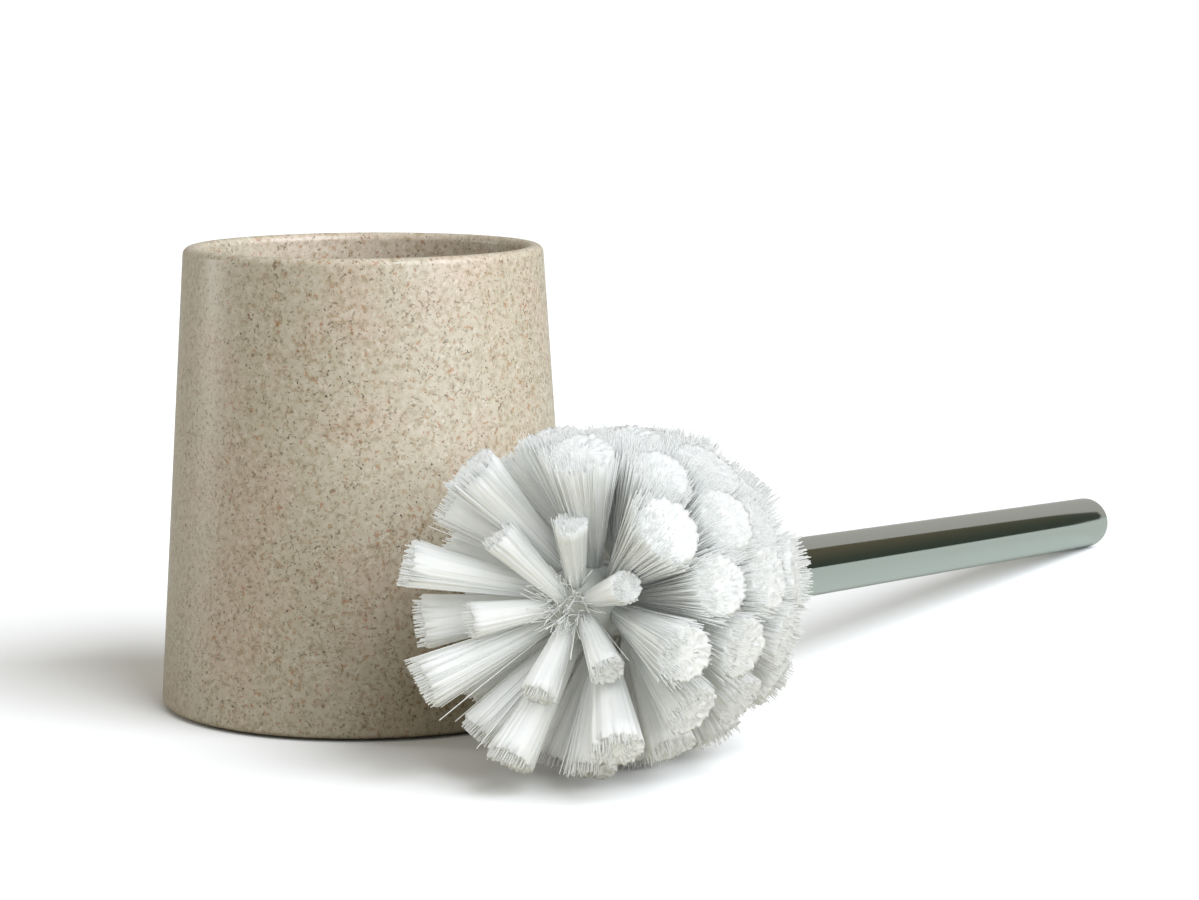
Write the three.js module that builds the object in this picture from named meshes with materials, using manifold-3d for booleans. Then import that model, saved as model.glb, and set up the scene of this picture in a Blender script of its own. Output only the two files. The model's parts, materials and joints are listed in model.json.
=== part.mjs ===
// Toilet brush holder: a tapered cast-resin holder on a foam pad, and the brush lying in front of it.
// Millimetres, +Z up. The origin is the centre of the pad's underside, on the floor.
import * as THREE from 'three';
import { mergeVertices } from 'three/addons/utils/BufferGeometryUtils.js';
import Module from 'manifold-3d';

const wasm = await Module();
wasm.setup();

// Gap between two pieces that touch on the real object.
const clearance = 0.3;

// Holder: a cast cup, wider at its foot, with a straight-sided well.
const cupHeight = 117.2;
const cupRimRadius = 46;
const cupFootRadius = 53.2;
const cupRimWall = 4.5;
const cupFloor = 8;
const cupRimRound = 2;
const cupFootRound = 1.2;
const wellFloorRound = 6;
const cupSides = 64;

// Foam pad let into the underside of the cup.
const padEdgeWidth = 5;
const padThickness = 2;
const padStandsProud = 0.8;

// Brush head: a moulded core with a domed nose, planted with rows of bristle tufts.
const coreRadius = 9;
const coreSides = 32;
const headToWell = 1.9;
const rowCount = 6;
const tuftsPerRow = 8;
const rowPitchAtRoot = 7.5;
const rowPitchAtTip = 12.9;
const firstRowRoot = -14;
const firstRowTip = -34;
const rowTrim = [3.1, 0.8, 0.1, 0, 0.6, 2.8];
const evenRowTurn = 33;
const tuftRootRadius = 1.8;
const tuftTipRadius = 4.5;
const plantingDepth = 2.4;
const tuftSides = 8;

// Nose tufts: shorter and thinner, set unevenly around the dome, one of them close to its tip.
const noseTurns = [18, 76, 131, 193, 265, 320];
const noseRootAngles = [40, 40, 20, 40, 40, 40];
const noseTuftTip = -32;
const noseTuftReach = 20.5;
const noseRootRadius = 1.4;
const noseTipRadius = 3;
const nosePlantingDepth = 1.8;

// Neck and screw joint between the head and the handle.
const lastRowToNeck = 6.5;
const neckLength = 8;
const spigotRadius = 4.5;
const spigotLength = 12;
const spigotChamfer = 1;
const plugBeyondSpigot = 4;

// Handle: a plated tube with a closed, round-edged end.
const tubeRadius = 8;
const tubeWall = 1;
const tubeLength = 319.3;
const tubeEndRound = 2;
const tubeSides = 40;

// How the brush lies: bearing of the head from the cup, heading of the handle, gap to the cup.
const headBearing = -56.1;
const handleHeading = 30.2;
const headToCup = 9.1;

// Sizes that follow from the ones above.
const cupBase = padStandsProud;
const wellRadius = cupRimRadius - cupRimWall;
const padRadius = cupFootRadius - padEdgeWidth;
const padPocketDepth = padThickness - padStandsProud + clearance;
const headRadius = wellRadius - headToWell;
const domeCentre = firstRowRoot;
const neckStart = firstRowRoot + (rowCount - 1) * rowPitchAtRoot + lastRowToNeck;
const neckEnd = neckStart + neckLength;
const tubeStart = neckEnd + clearance;
const tubeEnd = tubeStart + tubeLength;
const tubeBore = tubeRadius - tubeWall;
const plugRadius = tubeBore - clearance;
const spigotBore = spigotRadius + clearance;
const spigotBoreDepth = spigotLength + clearance;
const plugLength = spigotBoreDepth + plugBeyondSpigot;

const radians = THREE.MathUtils.degToRad;
const point = (radius, height) => new THREE.Vector2(radius, height);

// Points on a quarter or part circle about (radius, height), from one angle to another in degrees.
function arc(radius, height, size, from, to, steps) {
  return Array.from({ length: steps + 1 }, (_, i) => {
    const angle = radians(from + ((to - from) * i) / steps);
    return point(radius + size * Math.cos(angle), height + size * Math.sin(angle));
  });
}

// Turns a half outline about the Z axis.
function turned(outline, sides) {
  return new THREE.LatheGeometry(outline, sides).rotateX(Math.PI / 2);
}

// A closed geometry as a solid that can be cut: shared corners merged, slivers at the axis dropped.
function solidOf(geometry) {
  const bare = geometry.clone();
  bare.deleteAttribute('normal');
  bare.deleteAttribute('uv');
  const merged = mergeVertices(bare, 1e-4);
  const index = merged.index.array;
  const triangles = [];
  for (let i = 0; i < index.length; i += 3) {
    const [a, b, c] = [index[i], index[i + 1], index[i + 2]];
    if (a !== b && b !== c && c !== a) {
      triangles.push(a, b, c);
    }
  }
  const mesh = new wasm.Mesh({
    numProp: 3,
    vertProperties: Float32Array.from(merged.attributes.position.array),
    triVerts: Uint32Array.from(triangles),
  });
  return new wasm.Manifold(mesh);
}

// The cut solid's surface as a geometry again.
function geometryOf(solid) {
  const mesh = solid.getMesh();
  const geometry = new THREE.BufferGeometry();
  geometry.setAttribute('position', new THREE.BufferAttribute(mesh.vertProperties, 3));
  geometry.setIndex(new THREE.BufferAttribute(mesh.triVerts, 1));
  geometry.computeVertexNormals();
  return geometry;
}

function material(name, color, roughness, metalness = 0) {
  return new THREE.MeshStandardMaterial({ name, color, roughness, metalness });
}

const resin = material('sandstone_resin', 0xd8cbb8, 0.4);
const foam = material('foam', 0x9a958c, 0.9);
const corePlastic = material('white_plastic', 0xe9ebe7, 0.45);
const bristle = material('bristle', 0xeef0ec, 0.6);
const plugPlastic = material('plug_plastic', 0xc9cbc8, 0.55);
const chrome = material('chrome', 0xc2c7c4, 0.08, 1);

function piece(name, geometry, finish) {
  const mesh = new THREE.Mesh(geometry, finish);
  mesh.name = name;
  return mesh;
}

// Cup: up the tapered outside, over the rim, down the straight well, and under to the pad pocket.
function cupGeometry() {
  const top = cupBase + cupHeight;
  const wellFloor = cupBase + cupFloor;
  const pocketTop = cupBase + padPocketDepth;
  const pocketRadius = padRadius + clearance;
  const lean = Math.atan2(cupFootRadius - cupRimRadius, cupHeight) * THREE.MathUtils.RAD2DEG;
  return turned([
    point(0, pocketTop),
    point(pocketRadius, pocketTop),
    point(pocketRadius, cupBase),
    ...arc(cupFootRadius - cupFootRound, cupBase + cupFootRound, cupFootRound, -90, lean, 4),
    ...arc(cupRimRadius - cupRimRound, top - cupRimRound, cupRimRound, lean, 90, 5),
    ...arc(wellRadius + cupRimRound, top - cupRimRound, cupRimRound, 90, 180, 5),
    ...arc(wellRadius - wellFloorRound, wellFloor + wellFloorRound, wellFloorRound, 0, -90, 5),
    point(0, wellFloor),
  ], cupSides);
}

function padGeometry() {
  return turned([
    point(0, 0),
    point(padRadius, 0),
    point(padRadius, padThickness),
    point(0, padThickness),
  ], cupSides);
}

// A place on the brush: turn about the brush's axis in degrees, distance from it, station along it.
function brushPoint(turn, radius, station) {
  const angle = radians(turn);
  return new THREE.Vector3(radius * Math.cos(angle), -radius * Math.sin(angle), station);
}

// Every tuft: the point where it leaves the core, its tip, its two radii and how deep it is set.
function tuftList() {
  const tufts = [];
  for (const [i, turn] of noseTurns.entries()) {
    const angle = radians(noseRootAngles[i]);
    const station = domeCentre - coreRadius * Math.cos(angle);
    tufts.push({
      name: `nose_tuft_${i + 1}`,
      root: brushPoint(turn, coreRadius * Math.sin(angle), station),
      tip: brushPoint(turn, noseTuftReach, noseTuftTip),
      rootRadius: noseRootRadius,
      tipRadius: noseTipRadius,
      depth: nosePlantingDepth,
    });
  }
  for (let row = 0; row < rowCount; row += 1) {
    const stagger = row % 2 === 0 ? 0 : 180 / tuftsPerRow;
    for (let i = 0; i < tuftsPerRow; i += 1) {
      const turn = evenRowTurn + stagger + (i * 360) / tuftsPerRow;
      tufts.push({
        name: `row_${row + 1}_tuft_${i + 1}`,
        root: brushPoint(turn, coreRadius, firstRowRoot + row * rowPitchAtRoot),
        tip: brushPoint(turn, headRadius - rowTrim[row], firstRowTip + row * rowPitchAtTip),
        rootRadius: tuftRootRadius,
        tipRadius: tuftTipRadius,
        depth: plantingDepth,
      });
    }
  }
  return tufts;
}

// A flaring bundle between two points, as wide again as extra on every side.
function bundleGeometry(start, end, startRadius, endRadius, extra) {
  const run = end.clone().sub(start);
  const flat = extra / Math.cos(Math.PI / tuftSides);
  const geometry = new THREE.CylinderGeometry(
    endRadius + flat, startRadius + flat, run.length(), tuftSides);
  const turn = new THREE.Quaternion().setFromUnitVectors(
    new THREE.Vector3(0, 1, 0), run.clone().normalize());
  const middle = start.clone().add(end).multiplyScalar(0.5);
  return geometry.applyQuaternion(turn).translate(middle.x, middle.y, middle.z);
}

// The tuft from the bottom of its hole to its tip.
function tuftGeometry(tuft) {
  const along = tuft.tip.clone().sub(tuft.root).normalize();
  const start = tuft.root.clone().addScaledVector(along, -tuft.depth);
  return bundleGeometry(start, tuft.tip, tuft.rootRadius, tuft.tipRadius, 0);
}

// The hole for a tuft: the same flare, a clearance wider and deeper, open past the core's surface.
function holeGeometry(tuft) {
  const run = tuft.tip.clone().sub(tuft.root);
  const length = run.length() + tuft.depth;
  const flare = (tuft.tipRadius - tuft.rootRadius) / length;
  const along = run.normalize();
  const deep = tuft.depth + clearance;
  const outside = coreRadius / 2;
  const start = tuft.root.clone().addScaledVector(along, -deep);
  const end = tuft.root.clone().addScaledVector(along, outside);
  const startRadius = tuft.rootRadius - flare * clearance;
  const endRadius = tuft.rootRadius + flare * (tuft.depth + outside);
  return bundleGeometry(start, end, startRadius, endRadius, clearance);
}

// Core: domed nose, plain barrel, neck that meets the tube, and the spigot that screws into it.
function coreGeometry(tufts) {
  const spigotEnd = neckEnd + spigotLength;
  const body = solidOf(turned([
    ...arc(0, domeCentre, coreRadius, -90, 0, 8),
    point(coreRadius, neckStart),
    point(tubeRadius, neckEnd),
    point(spigotRadius, neckEnd),
    point(spigotRadius, spigotEnd - spigotChamfer),
    point(spigotRadius - spigotChamfer, spigotEnd),
    point(0, spigotEnd),
  ], coreSides));
  return geometryOf(tufts.reduce((core, tuft) => core.subtract(solidOf(holeGeometry(tuft))), body));
}

// Tube: a closed, round-edged far end, and a bore that is open at the neck.
function tubeGeometry() {
  const innerRound = Math.max(tubeEndRound - tubeWall, tubeWall / 2);
  return turned([
    point(0, tubeEnd - tubeWall),
    ...arc(tubeBore - innerRound, tubeEnd - tubeWall - innerRound, innerRound, 90, 0, 3),
    point(tubeBore, tubeStart),
    point(tubeRadius, tubeStart),
    ...arc(tubeRadius - tubeEndRound, tubeEnd - tubeEndRound, tubeEndRound, 0, 90, 5),
    point(0, tubeEnd),
  ], tubeSides);
}

// Plug: pressed into the tube's mouth, with a blind threaded hole for the spigot.
function plugGeometry() {
  const plugEnd = tubeStart + plugLength;
  return turned([
    point(0, tubeStart + spigotBoreDepth),
    point(spigotBore, tubeStart + spigotBoreDepth),
    point(spigotBore, tubeStart),
    point(plugRadius, tubeStart),
    point(plugRadius, plugEnd),
    point(0, plugEnd),
  ], coreSides);
}

// Slope at which a tuft's outermost corner and the last full round of the tube touch one floor.
function slopeUnder(tuft) {
  const heel = tubeEnd - tubeEndRound;
  const corners = tuftGeometry(tuft).getAttribute('position');
  const slopes = Array.from({ length: corners.count }, (_, i) => {
    const reach = Math.hypot(corners.getX(i), corners.getY(i));
    return Math.atan2(reach - tubeRadius, heel - corners.getZ(i));
  });
  return Math.max(...slopes);
}

function holder() {
  const group = new THREE.Group();
  group.add(piece('holder_cup', cupGeometry(), resin));
  group.add(piece('base_pad', padGeometry(), foam));
  return group;
}

// Built along its own axis, nose first, then tipped on to the floor and turned to its heading.
function brush() {
  const tufts = tuftList();
  const lying = new THREE.Group();
  lying.add(piece('brush_core', coreGeometry(tufts), corePlastic));
  tufts.forEach((tuft) => lying.add(piece(tuft.name, tuftGeometry(tuft), bristle)));
  lying.add(piece('handle_tube', tubeGeometry(), chrome));
  lying.add(piece('handle_plug', plugGeometry(), plugPlastic));
  const slope = Math.max(...tufts.map(slopeUnder));
  const heel = tubeEnd - tubeEndRound;
  lying.rotation.x = -Math.PI / 2 - slope;
  lying.position.z = tubeRadius * Math.cos(slope) + heel * Math.sin(slope);
  const placed = new THREE.Group();
  const distance = Math.max(cupFootRadius, cupRimRadius) + headRadius + headToCup;
  const bearing = radians(headBearing);
  placed.position.set(distance * Math.cos(bearing), distance * Math.sin(bearing), 0);
  placed.rotation.z = -radians(handleHeading);
  placed.add(lying);
  return placed;
}

const part = new THREE.Group();
part.add(holder());
part.add(brush());

export default part;
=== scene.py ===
# Toilet brush set: a sandstone-effect resin cup, and a white brush on a chromed tube lying before it.
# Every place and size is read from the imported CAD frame, in metres.
import json
import math

import bpy
import numpy as np
from mathutils import Matrix, Vector


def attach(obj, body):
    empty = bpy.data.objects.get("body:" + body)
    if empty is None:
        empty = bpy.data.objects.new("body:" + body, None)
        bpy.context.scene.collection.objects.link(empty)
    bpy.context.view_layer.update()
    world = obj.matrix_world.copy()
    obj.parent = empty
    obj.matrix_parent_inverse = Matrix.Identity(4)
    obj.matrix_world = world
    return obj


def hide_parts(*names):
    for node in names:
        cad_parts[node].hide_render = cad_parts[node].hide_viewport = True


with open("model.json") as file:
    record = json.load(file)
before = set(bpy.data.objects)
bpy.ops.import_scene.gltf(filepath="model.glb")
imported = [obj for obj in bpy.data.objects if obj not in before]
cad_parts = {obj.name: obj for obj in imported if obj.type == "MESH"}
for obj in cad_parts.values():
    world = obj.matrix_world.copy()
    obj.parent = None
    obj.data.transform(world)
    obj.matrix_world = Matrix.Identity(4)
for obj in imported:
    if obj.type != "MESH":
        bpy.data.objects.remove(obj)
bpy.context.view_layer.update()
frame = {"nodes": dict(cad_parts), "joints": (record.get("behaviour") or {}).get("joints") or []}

mm = 0.001
goldenAngle = math.pi * (3 - math.sqrt(5))


def nodePoints(node):
    # the node's separate corner points, as an array of rows x, y, z
    mesh = frame["nodes"][node].data
    points = np.zeros(len(mesh.vertices) * 3)
    mesh.vertices.foreach_get("co", points)
    return np.unique(points.reshape(-1, 3).round(6), axis=0)


screw = next(joint for joint in frame["joints"] if joint["name"] == "head_unscrew")
brushStart = np.array(screw["pos_m"], float)      # on the brush's axis, at the tube's mouth
brushAxis = -np.array(screw["axis"], float)       # from the bristles towards the tube's closed end
brushAxis /= np.linalg.norm(brushAxis)
brushSide = np.cross([0.0, 0.0, 1.0], brushAxis)
brushSide /= np.linalg.norm(brushSide)
brushUp = np.cross(brushAxis, brushSide)


def alongBrush(node):
    # stations along the brush's axis and distances from it, for each of the node's points
    away = nodePoints(node) - brushStart
    station = away @ brushAxis
    return station, np.linalg.norm(away - np.outer(station, brushAxis), axis=1)


def makePiece(name, points, faces, smooth=True):
    # a mesh object at the origin from arrays of points and faces
    mesh = bpy.data.meshes.new(name)
    mesh.from_pydata(points, [], faces)
    mesh.validate()
    mesh.polygons.foreach_set("use_smooth", np.full(len(mesh.polygons), smooth))
    mesh.update()
    piece = bpy.data.objects.new(name, mesh)
    bpy.context.scene.collection.objects.link(piece)
    return piece


def ringQuads(rings, sides):
    # four-sided faces between neighbouring rings: point (ring, side) has the number ring * sides + side
    ring = np.arange(rings - 1)[:, None] * sides
    turn = np.arange(sides)[None]
    after = (turn + 1) % sides
    quads = [ring + turn, ring + after, ring + sides + after, ring + sides + turn]
    return np.stack(quads, -1).reshape(-1, 4)


def spinOutline(name, outline, sides, origin=(0, 0, 0), side=(1, 0, 0), up=(0, 1, 0), axis=(0, 0, 1)):
    # point = origin + radius * (side * cos(angle) + up * sin(angle)) + axis * height, for each outline
    # point (radius, height) and each of the angles round the axis; both ends lie on the axis
    outline = np.asarray(outline, float)
    ring = outline[1:-1]
    angle = np.linspace(0, 2 * math.pi, sides, endpoint=False)
    spoke = np.outer(np.cos(angle), side) + np.outer(np.sin(angle), up)
    grid = ring[:, None, :1] * spoke[None] + ring[:, None, 1:] * np.asarray(axis, float)
    ends = outline[[0, -1], 1:] * np.asarray(axis, float)
    points = np.concatenate([grid.reshape(-1, 3), ends]) + np.asarray(origin, float)
    turn = np.arange(sides)
    after = (turn + 1) % sides
    last = (len(ring) - 1) * sides
    first = len(ring) * sides
    startFan = np.stack([np.full(sides, first), after, turn], -1)
    endFan = np.stack([np.full(sides, first + 1), last + turn, last + after], -1)
    faces = ringQuads(len(ring), sides).tolist() + startFan.tolist() + endFan.tolist()
    return makePiece(name, points.tolist(), faces)


def bend(radius, height, size, start, end, steps):
    # outline points on part of a circle about (radius, height), angles in degrees
    angle = np.radians(np.linspace(start, end, steps + 1))
    return np.stack([radius + size * np.cos(angle), height + size * np.sin(angle)], -1)


def straight(start, end, steps):
    # outline points spaced evenly on a line, without the first
    share = np.linspace(0, 1, steps + 1)[1:, None]
    return np.asarray(start, float) * (1 - share) + np.asarray(end, float) * share


def linear(colour):
    # an sRGB hex colour as the linear values a shader takes
    part = np.array([int(colour[i:i + 2], 16) for i in (1, 3, 5)]) / 255
    value = np.where(part <= 0.04045, part / 12.92, ((part + 0.055) / 1.055) ** 2.4)
    return (*value.tolist(), 1.0)


def addNode(tree, kind, settings=None, inputs=None, links=None):
    # one node with its settings, its input values and the sockets that feed it
    node = tree.nodes.new(kind)
    for key, value in (settings or {}).items():
        setattr(node, key, value)
    for key, value in (inputs or {}).items():
        node.inputs[key].default_value = value
    for key, socket in (links or {}).items():
        tree.links.new(socket, node.inputs[key])
    return node


# settings that many nodes share; a colour mix takes its two colours on sockets 6 and 7
smooth = {"interpolation_type": "SMOOTHSTEP"}
colourMix = {"data_type": "RGBA"}


def newMaterial(name, **surface):
    # a material with its shader's own sockets set, and the shader returned for links
    material = bpy.data.materials.new(name)
    material.use_nodes = True
    shader = material.node_tree.nodes["Principled BSDF"]
    for key, value in surface.items():
        shader.inputs[key].default_value = value
    return material, material.node_tree, shader


resinLook = {
    "ground": "#afa692", "pink": "#b2a390", "cloudSize": 24 * mm, "cloudEdge": (0.42, 0.64),
    "roughness": (0.30, 0.46), "rippleSize": 5 * mm, "rippleDepth": 0.2 * mm,
    "mottleSize": 1.7 * mm,
    "mottles": [
        # where it starts and is full, in the mottle's own noise, and its colour
        (0.52, 0.30, "#9c907a"),
        (0.50, 0.72, "#b9b09f"),
    ],
    "driftSize": 8 * mm, "driftShare": 0.22, "grainEdge": 0.05,
    "grains": [
        # size mm, how rare (0.5 is half the surface), how strong, colour
        (1.25, 0.600, 0.45, "#8a6f4e"),
        (0.95, 0.640, 0.68, "#66523a"),
        (1.35, 0.655, 0.55, "#98633c"),
        (1.05, 0.665, 0.60, "#6a6a58"),
        (0.80, 0.690, 0.85, "#3d3122"),
        (1.30, 0.650, 0.35, "#cfc9bc"),
    ],
}


def castSandstoneResin():
    # Polyester resin filled with coloured grit, cast and lightly polished: a cream body, mottled all
    # over, with brown, rust and olive grains that gather in loose clouds under a satin skin. Real grit
    # goes finer than the smallest grain here, which would not show.
    look = resinLook
    material, tree, shader = newMaterial("cast sandstone resin", IOR=1.52)
    place = addNode(tree, "ShaderNodeTexCoord").outputs["Object"]
    cloud = addNode(tree, "ShaderNodeTexNoise", None, {"Scale": 1 / look["cloudSize"], "Detail": 4.0},
                    {"Vector": place}).outputs["Fac"]
    mottle = addNode(tree, "ShaderNodeTexNoise", None,
                     {"Scale": 1 / look["mottleSize"], "Detail": 3.0, "Roughness": 0.65},
                     {"Vector": place}).outputs["Fac"]
    low, high = look["cloudEdge"]
    share = addNode(tree, "ShaderNodeMapRange", smooth, {"From Min": low, "From Max": high},
                    {"Value": cloud}).outputs["Result"]
    colour = addNode(tree, "ShaderNodeMix", colourMix, {6: linear(look["ground"]), 7: linear(look["pink"])},
                     {"Factor": share}).outputs[2]
    for start, full, tint in look["mottles"]:
        share = addNode(tree, "ShaderNodeMapRange", smooth, {"From Min": start, "From Max": full},
                        {"Value": mottle}).outputs["Result"]
        colour = addNode(tree, "ShaderNodeMix", colourMix, {7: linear(tint)},
                         {"Factor": share, 6: colour}).outputs[2]
    for number, (size, rarity, strength, tint) in enumerate(look["grains"]):
        # each colour of grain has the pattern moved and turned, so that no two lie on each other
        moved = addNode(tree, "ShaderNodeMapping", None,
                        {"Location": (0.137 * number, 0.071 * number, 0.043 * number),
                         "Rotation": (0.4 * number, 0.7 * number, 0.2 * number)},
                        {"Vector": place}).outputs["Vector"]
        grit = addNode(tree, "ShaderNodeTexNoise", None,
                       {"Scale": 1 / (size * mm), "Detail": 1.5, "Roughness": 0.5, "Distortion": 0.4},
                       {"Vector": moved}).outputs["Fac"]
        drift = addNode(tree, "ShaderNodeTexNoise", None, {"Scale": 1 / look["driftSize"], "Detail": 2.0},
                        {"Vector": moved}).outputs["Fac"]
        gathered = addNode(tree, "ShaderNodeMath", {"operation": "MULTIPLY_ADD"}, {1: look["driftShare"]},
                           {0: drift, 2: grit}).outputs[0]
        edge = rarity + look["driftShare"] / 2
        grain = addNode(tree, "ShaderNodeMapRange", smooth,
                        {"From Min": edge, "From Max": edge + look["grainEdge"], "To Max": strength},
                        {"Value": gathered}).outputs["Result"]
        colour = addNode(tree, "ShaderNodeMix", colourMix, {7: linear(tint)},
                         {"Factor": grain, 6: colour}).outputs[2]
    tree.links.new(colour, shader.inputs["Base Color"])
    ripple = addNode(tree, "ShaderNodeTexNoise", None, {"Scale": 1 / look["rippleSize"], "Detail": 4.0},
                     {"Vector": place}).outputs["Fac"]
    relief = addNode(tree, "ShaderNodeBump", None, {"Strength": 0.2, "Distance": look["rippleDepth"]},
                     {"Height": ripple})
    tree.links.new(relief.outputs["Normal"], shader.inputs["Normal"])
    smoothest, dullest = look["roughness"]
    rough = addNode(tree, "ShaderNodeMapRange", None, {"To Min": smoothest, "To Max": dullest},
                    {"Value": mottle}).outputs["Result"]
    tree.links.new(rough, shader.inputs["Roughness"])
    return material


chromeLook = {"colour": "#d6dcd9", "hazeSize": 14 * mm, "roughness": (0.045, 0.1)}


def chromedSteel():
    # Bright chromium plate on a drawn tube: a cool, slightly green mirror with the faintest haze.
    look = chromeLook
    material, tree, shader = newMaterial("chrome-plated drawn tube", Metallic=1.0)
    shader.inputs["Base Color"].default_value = linear(look["colour"])
    place = addNode(tree, "ShaderNodeTexCoord").outputs["Object"]
    haze = addNode(tree, "ShaderNodeTexNoise", None, {"Scale": 1 / look["hazeSize"], "Detail": 3.0},
                   {"Vector": place}).outputs["Fac"]
    smoothest, dullest = look["roughness"]
    rough = addNode(tree, "ShaderNodeMapRange", None, {"To Min": smoothest, "To Max": dullest},
                    {"Value": haze}).outputs["Result"]
    tree.links.new(rough, shader.inputs["Roughness"])
    return material


bristleLook = {"cool": "#edf1ef", "warm": "#f6f7f5", "driftSize": 4 * mm}


def bristlePlastic():
    # Extruded polypropylene filament: milky white, with the soft sheen of drawn plastic. Faint drifts
    # of cooler white part one bunch of strands from the next.
    look = bristleLook
    material, tree, shader = newMaterial("extruded polypropylene filament", Roughness=0.5, IOR=1.49)
    shader.inputs["Specular IOR Level"].default_value = 0.3
    place = addNode(tree, "ShaderNodeTexCoord").outputs["Object"]
    vary = addNode(tree, "ShaderNodeTexNoise", None, {"Scale": 1 / look["driftSize"], "Detail": 3.0},
                   {"Vector": place}).outputs["Fac"]
    milk = addNode(tree, "ShaderNodeMix", colourMix, {6: linear(look["cool"]), 7: linear(look["warm"])},
                   {"Factor": vary}).outputs[2]
    tree.links.new(milk, shader.inputs["Base Color"])
    return material


plasticLook = {"core": ("#cfd3cd", "#dadcd7"), "plug": ("#b9bbb8", "#c6c8c4"), "mottleSize": 3 * mm}


def mouldedPlastic(name, tint, mark):
    # Injection-moulded polypropylene: an even satin skin with a faint mottle from the mould.
    material, tree, shader = newMaterial(name, Roughness=0.4, IOR=1.49)
    place = addNode(tree, "ShaderNodeTexCoord").outputs["Object"]
    mottle = addNode(tree, "ShaderNodeTexNoise", None,
                     {"Scale": 1 / plasticLook["mottleSize"], "Detail": 3.0},
                     {"Vector": place}).outputs["Fac"]
    colour = addNode(tree, "ShaderNodeMix", colourMix, {6: linear(tint), 7: linear(mark)},
                     {"Factor": mottle}).outputs[2]
    tree.links.new(colour, shader.inputs["Base Color"])
    return material


# the cell colour is painted shade for the cells' hollows; the wall colour is the foam's own
foamLook = {"cell": "#6f6b62", "wall": "#a29c90", "cellSize": 0.5 * mm, "cellDepth": 0.15 * mm}


def skivedFoam():
    # Closed-cell foam cut to a sheet: a dull skin with open cells about half a millimetre across. The
    # cells' hollows are darkened with painted shade.
    look = foamLook
    material, tree, shader = newMaterial("skived closed-cell foam", Roughness=0.85)
    place = addNode(tree, "ShaderNodeTexCoord").outputs["Object"]
    cell = addNode(tree, "ShaderNodeTexVoronoi", None, {"Scale": 1 / look["cellSize"]},
                   {"Vector": place}).outputs["Distance"]
    raisedAndUnshaded = addNode(tree, "ShaderNodeMapRange", smooth, {"From Min": 0.1, "From Max": 0.5},
                     {"Value": cell}).outputs["Result"]
    # painted shade: the cell colour darkens each cell's hollow, where the bump is lowest
    colour = addNode(tree, "ShaderNodeMix", colourMix, {6: linear(look["cell"]), 7: linear(look["wall"])},
                     {"Factor": raisedAndUnshaded}).outputs[2]
    tree.links.new(colour, shader.inputs["Base Color"])
    relief = addNode(tree, "ShaderNodeBump", None, {"Strength": 0.5, "Distance": look["cellDepth"]},
                     {"Height": raisedAndUnshaded})
    tree.links.new(relief.outputs["Normal"], shader.inputs["Normal"])
    return material


print("materials")
resin = castSandstoneResin()
chrome = chromedSteel()
filament = bristlePlastic()
corePlastic = mouldedPlastic("moulded white polypropylene", *plasticLook["core"])
plugPlastic = mouldedPlastic("moulded grey polypropylene", *plasticLook["plug"])
foam = skivedFoam()


def dress(piece, material, body, slot, *nodes):
    # the piece's finish, the body it moves with, its slot, which is not used, and the CAD nodes that it
    # stands for
    piece.data.materials.append(material)
    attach(piece, body)
    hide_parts(*nodes)
    return piece


cupShape = {"rimRound": 2.0 * mm, "footRound": 1.2 * mm, "wellFloorRound": 6.0 * mm, "sides": 256}


def makeCup():
    # the tapered outside, a rounded rim, the straight well and the pad's pocket, turned about +Z
    points = nodePoints("holder_cup")
    radius, height = np.hypot(points[:, 0], points[:, 1]), points[:, 2]
    base, top = height.min(), height.max()
    footRadius = radius.max() + 0.06 * mm
    nearRim = height > top - 1.1 * cupShape["rimRound"]
    rimRadius, wellRadius = radius[nearRim].max(), radius[nearRim].min()
    wellFloor = height[(radius < 0.1 * mm)].max()
    pocketTop = height[(radius < 0.1 * mm)].min()
    underside = radius[(height < base + 0.05 * mm)]
    pocketRadius = underside.min()
    lean = math.degrees(math.atan2(footRadius - rimRadius, top - base))
    rim, foot, floorRound = cupShape["rimRound"], cupShape["footRound"], cupShape["wellFloorRound"]
    footBend = bend(footRadius - foot, base + foot, foot, -90, lean, 8)
    rimBend = bend(rimRadius - rim, top - rim, rim, lean, 90, 10)
    innerBend = bend(wellRadius + rim, top - rim, rim, 90, 180, 10)
    floorBend = bend(wellRadius - floorRound, wellFloor + floorRound, floorRound, 0, -90, 10)
    outline = np.concatenate([
        [(0, pocketTop)], straight((0, pocketTop), (pocketRadius, pocketTop), 6), [(pocketRadius, base)],
        footBend, straight(footBend[-1], rimBend[0], 24)[:-1], rimBend, innerBend,
        straight(innerBend[-1], floorBend[0], 16)[:-1], floorBend,
        straight(floorBend[-1], (0, wellFloor), 6),
    ])
    return spinOutline("cup", outline, cupShape["sides"])


padShape = {"edgeRound": 0.3 * mm, "sides": 128}


def makePad():
    # a flat disc with rounded edges, turned about +Z
    points = nodePoints("base_pad")
    radius, height = np.hypot(points[:, 0], points[:, 1]).max(), points[:, 2]
    low, high, edge = height.min(), height.max(), padShape["edgeRound"]
    outline = np.concatenate([
        [(0, low)], [(radius * 0.5, low)], bend(radius - edge, low + edge, edge, -90, 0, 4),
        bend(radius - edge, high - edge, edge, 0, 90, 4), [(radius * 0.5, high)], [(0, high)],
    ])
    return spinOutline("pad", outline, padShape["sides"])


print("cup and pad")
dress(makeCup(), resin, "holder", "sandstone_resin", "holder_cup")
dress(makePad(), foam, "holder", "foam", "base_pad")


tubeShape = {"endRound": 2.0 * mm, "mouthRound": 0.25 * mm, "sides": 192}


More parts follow.
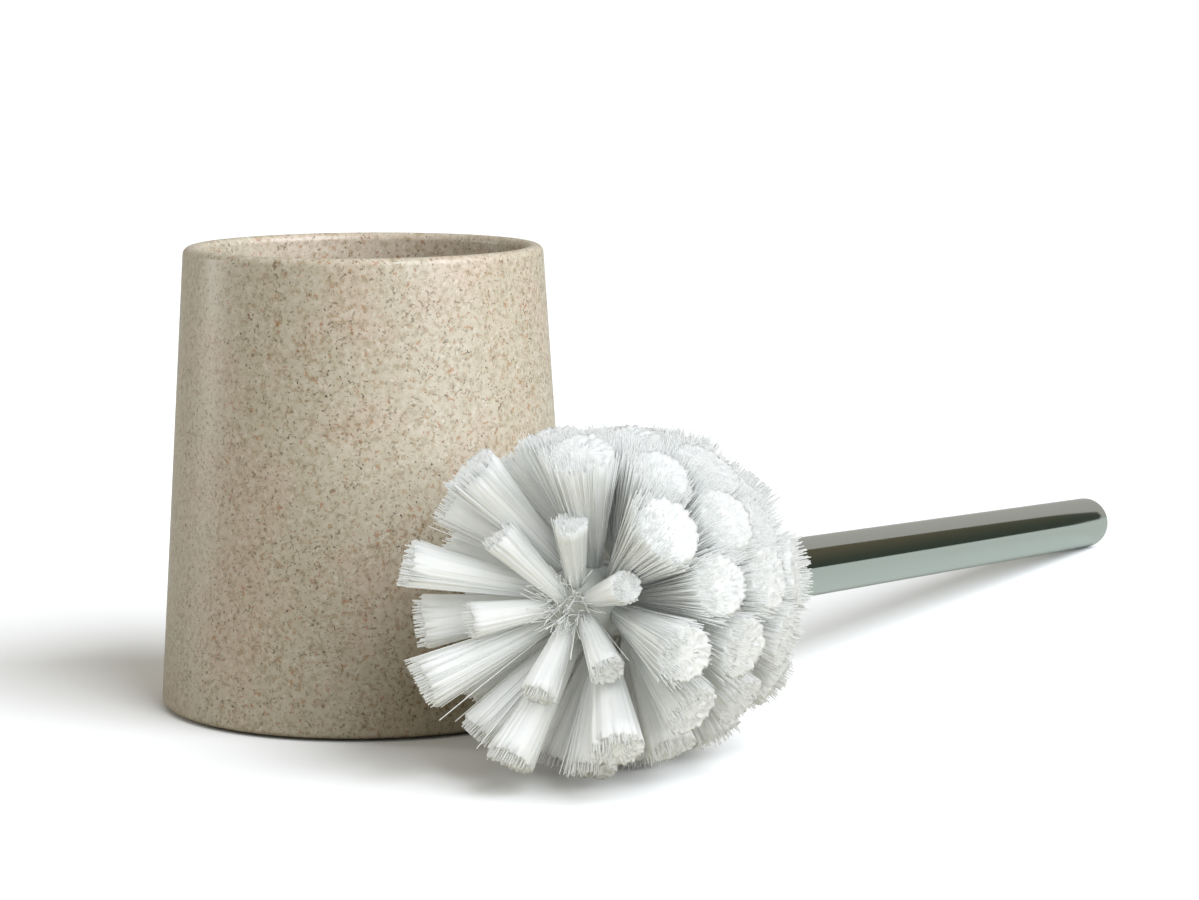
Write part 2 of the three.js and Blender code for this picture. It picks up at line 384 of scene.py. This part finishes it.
def makeTube():
    # a closed round end, the plain outside, the open mouth and the bore, turned about the brush's axis
    station, radius = alongBrush("handle_tube")
    start, end, outside = station.min(), station.max(), radius.max()
    bore = radius[station < start + 0.1 * mm].min()
    wall = outside - bore
    edge, lip = tubeShape["endRound"], tubeShape["mouthRound"]
    endBend = bend(outside - edge, end - edge, edge, 0, 90, 10)
    innerEdge = edge - wall
    innerBend = bend(bore - innerEdge, end - wall - innerEdge, innerEdge, 90, 0, 5)
    outline = np.concatenate([
        [(0, end - wall)], innerBend, straight(innerBend[-1], (bore, start + lip), 12)[:-1],
        bend(bore + lip, start + lip, lip, 180, 270, 3), bend(outside - lip, start + lip, lip, -90, 0, 3),
        straight((outside, start + lip), endBend[0], 40)[:-1], endBend, [(outside * 0.3, end)], [(0, end)],
    ])
    return spinOutline("tube", outline, tubeShape["sides"], brushStart, brushSide, brushUp, brushAxis)


print("handle")
dress(makeTube(), chrome, "handle", "chrome", "handle_tube")


tuftShape = {
    # strands: how many, their size, and how the bundle fills its hole and fans out
    "filaments": 260, "noseFilaments": 150, "extra": 1.3, "thickness": 0.26 * mm, "sides": 4, "steps": 3,
    "packing": 0.97, "outward": 0.40, "noseRoot": 1.45, "noseTip": 4 * mm, "flare": 1.36,
    "uneven": (0.9, 1.12), "clumps": 6, "clumpPull": 0.12, "clumpReach": 0.85, "scatter": 0.06,
    "curl": 0.8 * mm, "bow": 0.04, "raggedness": 0.70 * mm, "longestCut": 2 * mm,
    "strayShare": 0.02, "strayReach": 2.4 * mm, "overFloor": 0.35 * mm, "seed": 11,
    # the side that is splayed, and how much wider its strands and its packed middles are
    "splaySide": (0.65, -0.35, 0.67), "crowd": 1.0, "heartCrowd": 0.42,
    # the packed middle of a tuft: its share of the tuft's radius and length, and its grooves
    "heartWidth": 0.95, "heartLength": 0.985, "heartSides": 72, "heartSteps": 8, "groove": 0.035,
    "endRings": 9, "endRelief": 0.30 * mm,
    # tufts pushed flat by use, and how much of their reach is left
    "pressed": {"row_5_tuft_1": 0.90, "row_6_tuft_1": 0.93, "row_6_tuft_8": 0.96},
}


def tuftEnds(node):
    # the middles of the bundle's two ends, and their radii; the root is the end nearer the brush's axis
    points = nodePoints(node)
    middle = points.mean(0)
    run = np.linalg.svd(points - middle)[2][0]
    place = (points - middle) @ run
    ends = [points[place < place.min() + 0.2 * mm], points[place > place.max() - 0.2 * mm]]
    centres = [end.mean(0) for end in ends]
    sizes = [np.linalg.norm(end - centre, axis=1).max() for end, centre in zip(ends, centres)]
    away = [np.linalg.norm(np.cross(centre - brushStart, brushAxis)) for centre in centres]
    root = int(away[1] < away[0])
    return centres[root], centres[1 - root], sizes[root], sizes[1 - root]


def filamentSkins(root, middle, tip):
    # each filament follows root*(1-t)^2 + middle*2t(1-t) + tip*t^2, a gentle curve; its skin is that path
    # plus half the thickness * (cos(a), sin(a)) across it, closed by a flat face at each end
    thickness, sides, steps = tuftShape["thickness"], tuftShape["sides"], tuftShape["steps"]
    share = np.linspace(0, 1, steps + 1)[None, :, None]
    path = (root[:, None] * (1 - share) ** 2 + middle[:, None] * 2 * share * (1 - share)
            + tip[:, None] * share ** 2)
    run = tip - root
    run /= np.linalg.norm(run, axis=1, keepdims=True)
    across = np.cross(run, brushAxis + 0.37 * brushUp)      # never along a filament
    across /= np.linalg.norm(across, axis=1, keepdims=True)
    other = np.cross(run, across)
    angle = np.linspace(0, 2 * math.pi, sides, endpoint=False)[None, None, :, None]
    skin = across[:, None, None] * np.cos(angle) + other[:, None, None] * np.sin(angle)
    points = (path[:, :, None] + skin * thickness / 2).reshape(-1, 3)
    first = (np.arange(len(root)) * (steps + 1) * sides)[:, None]
    quads = (first[:, :, None] + ringQuads(steps + 1, sides)[None]).reshape(-1, 4)
    ring = np.arange(sides)[None]
    tops = first + steps * sides + ring
    feet = first + ring[:, ::-1]
    return points, quads.tolist() + tops.tolist() + feet.tolist()


def heartSkin(root, tip, side, lift, rootSize, wide, draw, first):
    # the packed middle of the tuft: at share t of the run its radius goes evenly from rootSize to wide,
    # shallow grooves run its whole length, and rings of uneven height close it like cut strand ends;
    # its points are numbered from first
    look = tuftShape
    sides, steps, rings = look["heartSides"], look["heartSteps"], look["endRings"]
    angle = np.linspace(0, 2 * math.pi, sides, endpoint=False)
    groove = 1 + look["groove"] * draw.normal(0, 1, sides)
    share = np.concatenate([np.linspace(0, 1, steps + 1), np.ones(rings)])
    close = np.concatenate([np.ones(steps + 1), np.linspace(1, 0.08, rings + 1)[1:]])
    size = (rootSize + np.outer(share, wide - rootSize)) * close[:, None] * look["heartWidth"]
    spoke = (np.outer(np.cos(angle), side)[None] * size[:, :1, None]
             + np.outer(np.sin(angle), lift)[None] * size[:, 1:, None])
    spine = root + np.outer(share * look["heartLength"], tip - root)
    points = spine[:, None] + spoke * groove[None, :, None]
    uneven = draw.normal(0, look["endRelief"], (rings + 1, sides)) * (close[steps:, None] > 0.3)
    points[steps:] += uneven[:, :, None] * (tip - root) / np.linalg.norm(tip - root)
    quads = first + ringQuads(len(share), sides)
    foot = first + np.arange(sides)[::-1]
    top = first + (len(share) - 1) * sides + np.arange(sides)
    return points.reshape(-1, 3), quads.tolist() + [top.tolist(), foot.tolist()]


def makeTuft(node, number):
    # filaments start packed in the hole and fan out evenly; sunflower spacing places them in the bundle:
    # filament n of the count lies at radius (n / count) to the power outward, turned n golden angles
    look = tuftShape
    draw = np.random.default_rng(look["seed"] + number)
    root, tip, rootSize, tipSize = tuftEnds(node)
    isNose = tipSize < look["noseTip"]
    tip = root + (tip - root) * look["pressed"].get(node, 1.0)
    # the side away from the floor and the cup is splayed, so its tufts run into one another
    splay = 0.0 if isNose else max(0.0, float((tip - root) @ np.array(look["splaySide"])))
    splay /= np.linalg.norm(tip - root)
    count = look["noseFilaments"] if isNose else int(look["filaments"] * (1 + look["extra"] * splay))
    rootSize *= look["noseRoot"] if isNose else 1.0
    run = tip - root
    length = np.linalg.norm(run)
    run /= length
    side = np.cross(run, brushAxis)
    side /= np.linalg.norm(side)
    lift = np.cross(run, side)
    order = np.arange(count) + 0.5
    turn = order * goldenAngle
    spread = (order / count) ** look["outward"]
    disc = np.stack([spread * np.cos(turn), spread * np.sin(turn)], -1)
    uneven = draw.uniform(*look["uneven"], 2)
    wide = tipSize * (look["flare"] + look["crowd"] * splay) * uneven
    heartWide = tipSize * (look["flare"] + look["heartCrowd"] * splay) * uneven
    centres = disc[draw.integers(0, count, look["clumps"])] * look["clumpReach"]
    nearest = np.linalg.norm(disc[:, None] - centres[None], axis=2).argmin(1)
    pull = (centres[nearest] - disc) * look["clumpPull"]
    fan = (disc + pull + draw.normal(0, look["scatter"], (count, 2))) * wide
    stray = draw.random(count) < look["strayShare"]
    fan[stray] += draw.normal(0, look["strayReach"], (int(stray.sum()), 2))
    lean = draw.normal(0, 0.35 * look["curl"], 2)
    start = root + (disc * rootSize * look["packing"]) @ np.stack([side, lift])
    end = tip + (fan + lean) @ np.stack([side, lift])
    # every tip is cut at the same distance from the brush's axis, give or take the raggedness
    away = end - brushStart
    far = np.linalg.norm(away - np.outer(away @ brushAxis, brushAxis), axis=1)
    tipAway = tip - brushStart
    cut = np.linalg.norm(tipAway - (tipAway @ brushAxis) * brushAxis)
    swing = (cut - far + draw.normal(0, look["raggedness"], count))[:, None]
    swing = np.clip(swing, -look["longestCut"], look["longestCut"])
    end += (end - start) / np.linalg.norm(end - start, axis=1, keepdims=True) * swing
    middle = (start + end) / 2 + run * (length * look["bow"])
    middle += draw.normal(0, look["curl"] * 0.35, (count, 3))
    # nothing reaches under the floor: the tips there lie over instead
    end[:, 2] = np.maximum(end[:, 2], look["overFloor"])
    middle[:, 2] = np.maximum(middle[:, 2], look["overFloor"])
    skins, faces = filamentSkins(start, middle, end)
    heart, heartFaces = heartSkin(root, tip, side, lift, rootSize, heartWide, draw, len(skins))
    return makePiece(node + "_filaments", np.concatenate([skins, heart]).tolist(), faces + heartFaces)


crown = {
    "strands": 120, "reach": 5.2 * mm, "shortest": 5.0 * mm, "longest": 9.5 * mm, "planted": 0.3 * mm,
    "lean": 0.45, "outwards": 0.35, "bow": 0.3 * mm, "seed": 4,
}


def makeCrown():
    # short strands between the nose tufts: roots spread over the dome by sunflower spacing, each
    # standing along the dome's own radius with a random lean
    look, count = crown, crown["strands"]
    draw = np.random.default_rng(look["seed"])
    station, radius = alongBrush("brush_core")
    barrel = radius.max()
    middle = brushStart + brushAxis * (station.min() + barrel)
    order = np.arange(count) + 0.5
    turn = order * goldenAngle
    out = look["reach"] * np.sqrt(order / count)
    flat = np.outer(out * np.cos(turn), brushSide) + np.outer(out * np.sin(turn), brushUp)
    radial = (flat - np.outer(np.sqrt(barrel ** 2 - out ** 2), brushAxis)) / barrel
    grow = radial + draw.normal(0, look["lean"], (count, 3))
    grow /= np.linalg.norm(grow, axis=1, keepdims=True)
    grow -= np.outer(np.maximum(grow @ brushAxis + look["outwards"], 0), brushAxis)
    length = draw.uniform(look["shortest"], look["longest"], count)[:, None]
    start = middle + radial * (barrel - look["planted"])
    end = start + grow * length
    bow = (start + end) / 2 + draw.normal(0, look["bow"], (count, 3))
    points, faces = filamentSkins(start, bow, end)
    return makePiece("nose_strands", points.tolist(), faces)


print("bristles")
tuftNodes = sorted(name for name in frame["nodes"] if "tuft" in name)
tufts = bpy.data.collections.new("tufts")
spared = bpy.data.collections.new("left out by the sun")
for number, node in enumerate(tuftNodes):
    tuft = dress(makeTuft(node, number), filament, "head", "bristle", node)
    tufts.objects.link(tuft)
    spared.objects.link(tuft)
noseStrands = makeCrown()
noseStrands.data.materials.append(filament)
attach(noseStrands, "head")
tufts.objects.link(noseStrands)
spared.objects.link(noseStrands)
for entry in spared.collection_objects:
    entry.light_linking.link_state = "EXCLUDE"


coreShape = {
    "shoulderRound": 1.0 * mm, "shoulderStep": 0.05 * mm, "mouthChamfer": 0.2 * mm, "chamfer": 1.0 * mm,
    "sides": 96,
}


def makeCore():
    # domed nose, barrel, neck narrowing to the tube, and the spigot inside it, turned about the brush's
    # axis; the bristles fill their holes, so the skin runs unbroken between them
    look = coreShape
    station, radius = alongBrush("brush_core")
    barrel = radius.max()
    nose, tail = station.min(), station.max()
    neckStart = station[radius > barrel - 0.02 * mm].max()
    spigot = radius[station > 2 * mm].max()
    neckEnd = station[radius > spigot + 0.5 * mm].max()
    mouth = radius[np.abs(station - neckEnd) < 0.05 * mm].max()
    edge, chamfer = look["mouthChamfer"], look["chamfer"]
    shoulder = (barrel, neckStart - look["shoulderRound"])
    neck = (barrel - look["shoulderStep"], neckStart)
    outline = np.concatenate([
        [(0, nose)], bend(0, nose + barrel, barrel, -88, 0, 20),
        straight((barrel, nose + barrel), shoulder, 20), straight(shoulder, neck, 2),
        straight(neck, (mouth, neckEnd - edge), 4),
        [(mouth - edge, neckEnd), (spigot, neckEnd), (spigot, tail - chamfer),
         (spigot - chamfer, tail), (0, tail)],
    ])
    return spinOutline("core", outline, coreShape["sides"], brushStart, brushSide, brushUp, brushAxis)


def refinish(node, material):
    # a CAD node keeps its shape and takes another finish
    mesh = frame["nodes"][node].data
    mesh.materials.clear()
    mesh.materials.append(material)


print("core and plug")
dress(makeCore(), corePlastic, "head", "white_plastic", "brush_core")
refinish("handle_plug", plugPlastic)


studio = {
    "floorHalf": 40.0, "floorSeen": "#f2f2f0", "floorBounce": "#b9b3a2", "floorMirrored": "#aaafa8",
    "sky": "#fcf9f0", "skyStrength": 0.425,
    "sun": {"bearing": 50.0, "height": 36.0, "angle": 60.0, "strength": 5.35, "colour": "#f1f6ff"},
    "fill": {"bearing": 20.0, "height": 24.0, "angle": 100.0, "strength": 3.1, "colour": "#f4f7ff"},
    "windowPlace": (-0.95, 0.26, 0.26), "windowAim": (0, 0, 0.08),
    "windowSize": (0.12, 0.5), "windowPower": 2.4,
    "cardX": 0.45, "cardFade": 0.2, "cardHigh": "#757061", "cardLow": "#4a554f",
    "cardCorners": [(-0.25, 0), (0.388, 0), (0.43, 0.03), (0.482, 0.1), (0.487, 0.5), (-0.25, 0.5)],
}


def makeFloor():
    # one flat square under the object, wide enough to fill the view to its far edge
    half = studio["floorHalf"]
    corners = [(-half, -half, 0), (half, -half, 0), (half, half, 0), (-half, half, 0)]
    floor = makePiece("floor", corners, [(0, 1, 2, 3)], smooth=False)
    # the paper reads near white, sends less of that light back on to the object, and is greyer still in
    # the polished tube
    material, tree, shader = newMaterial("matt paper", Roughness=0.9)
    shader.inputs["Specular IOR Level"].default_value = 0.0
    path = addNode(tree, "ShaderNodeLightPath").outputs
    colour = addNode(tree, "ShaderNodeMix", colourMix,
                     {6: linear(studio["floorBounce"]), 7: linear(studio["floorSeen"])},
                     {"Factor": path["Is Camera Ray"]}).outputs[2]
    colour = addNode(tree, "ShaderNodeMix", colourMix, {7: linear(studio["floorMirrored"])},
                     {"Factor": path["Is Glossy Ray"], 6: colour}).outputs[2]
    tree.links.new(colour, shader.inputs["Base Color"])
    floor.data.materials.append(material)


def makeCard():
    # a dark card out of view on the right, flat across X, which the tube mirrors as one dark band; the
    # cut corner lets the band run out to a point at the tube's end
    corners = [(studio["cardX"], along, height) for along, height in studio["cardCorners"]]
    card = makePiece("dark_card", corners, [tuple(range(len(corners)))], smooth=False)
    material, tree, shader = newMaterial("dark card", Roughness=0.9)
    shader.inputs["Specular IOR Level"].default_value = 0.0
    place = addNode(tree, "ShaderNodeTexCoord").outputs["Object"]
    height = addNode(tree, "ShaderNodeSeparateXYZ", None, None, {"Vector": place}).outputs["Z"]
    share = addNode(tree, "ShaderNodeMapRange", smooth, {"From Min": 0.0, "From Max": studio["cardFade"]},
                    {"Value": height}).outputs["Result"]
    colour = addNode(tree, "ShaderNodeMix", colourMix,
                     {6: linear(studio["cardLow"]), 7: linear(studio["cardHigh"])},
                     {"Factor": share}).outputs[2]
    tree.links.new(colour, shader.inputs["Base Color"])
    card.data.materials.append(material)
    card.visible_camera = False
    card.visible_diffuse = False
    card.visible_shadow = False


def hangLamp(lamp, towards):
    # a lamp shines down its own -Z, so its +Z is turned towards where it hangs
    lamp.rotation_euler = towards.to_track_quat("Z", "Y").to_euler()
    bpy.context.scene.collection.objects.link(lamp)


def makeSun(name, look):
    # broad soft light from afar; its bearing is measured from the viewer's side, towards the right
    light = bpy.data.lights.new(name, "SUN")
    light.energy = look["strength"]
    light.angle = math.radians(look["angle"])
    light.color = linear(look["colour"])[:3]
    lamp = bpy.data.objects.new(name, light)
    bearing, height = math.radians(look["bearing"]), math.radians(look["height"])
    hangLamp(lamp, Vector((math.sin(bearing) * math.cos(height), -math.cos(bearing) * math.cos(height),
                           math.sin(height))))
    return lamp


def makeWindow():
    # upright strip on the left, for the soft highlight down that side of the cup
    light = bpy.data.lights.new("window", "AREA")
    light.energy = studio["windowPower"]
    light.shape = "RECTANGLE"
    light.size, light.size_y = studio["windowSize"]
    lamp = bpy.data.objects.new("window", light)
    lamp.location = studio["windowPlace"]
    hangLamp(lamp, Vector(studio["windowPlace"]) - Vector(studio["windowAim"]))


def makeSky():
    world = bpy.data.worlds.new("studio")
    world.use_nodes = True
    back = world.node_tree.nodes["Background"]
    back.inputs["Color"].default_value = linear(studio["sky"])
    back.inputs["Strength"].default_value = studio["skyStrength"]
    bpy.context.scene.world = world


# where the camera stands, in metres, its turns in degrees, and its lens in mm
view = {"place": (0.0, -0.8761, 0.1844), "down": 7.785, "right": 3.937, "roll": -0.169, "lens": 102.81}


def makeCamera():
    camera = bpy.data.objects.new("camera", bpy.data.cameras.new("camera"))
    camera.data.lens = view["lens"]
    camera.data.sensor_width = 36.0
    camera.data.clip_end = 200.0
    turn = (Matrix.Rotation(-math.radians(view["right"]), 4, "Z")
            @ Matrix.Rotation(math.radians(90 - view["down"]), 4, "X")
            @ Matrix.Rotation(math.radians(view["roll"]), 4, "Z"))
    camera.matrix_world = Matrix.Translation(view["place"]) @ turn
    bpy.context.scene.collection.objects.link(camera)
    bpy.context.scene.camera = camera


print("studio")
makeFloor()
makeCard()
makeSky()
# Milky strands pass light on to one another, which these solid ones can't. The sun leaves them out, and
# a broad light from the viewer's side falls on them alone, so that their creases stay pale.
sun = makeSun("sun", studio["sun"])
sun.light_linking.receiver_collection = spared
fill = makeSun("bristle_fill", studio["fill"])
fill.data.specular_factor = 0.0
fill.light_linking.receiver_collection = tufts
makeWindow()
makeCamera()
bpy.context.scene.view_settings.view_transform = "Standard"
